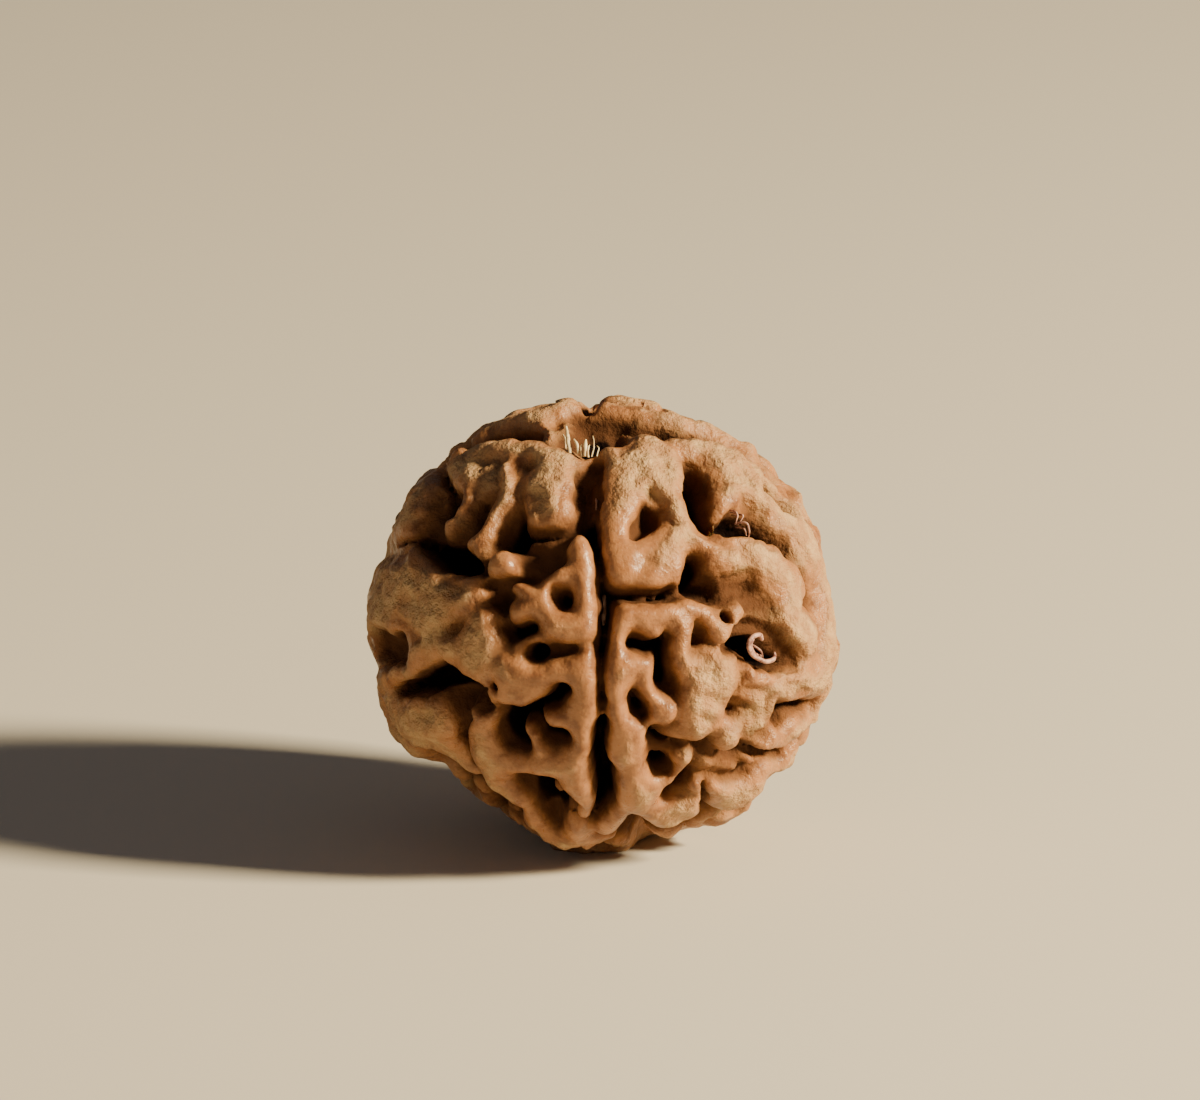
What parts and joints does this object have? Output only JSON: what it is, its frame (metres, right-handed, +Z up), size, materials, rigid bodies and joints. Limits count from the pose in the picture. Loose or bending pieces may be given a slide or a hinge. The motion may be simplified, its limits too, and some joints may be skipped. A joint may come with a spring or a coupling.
{
  "type": "rudraksha seed",
  "caption": "Whole dried rudraksha seed: a nearly round stone of deep folded ridges and pits, with long seams, a fibre-filled stem hole and a small flat resting spot.",
  "frame": {"origin": "middle of the seed's footprint, on the surface it rests on", "axes": "+Z up, the front groove faces -Y, the stem hole is at the top and leans a little to the front, +X to the right seen from the front"},
  "size_m": [0.024, 0.0238, 0.023],
  "materials": {
    "seed_shell": "waxy satin on the ridge tops, matt and finely pitted between them",
    "seed_fibre": "dry matt plant fibre"
  },
  "bodies": {
    "root": {"seed": "seed_shell"}
  },
  "joints": []
}
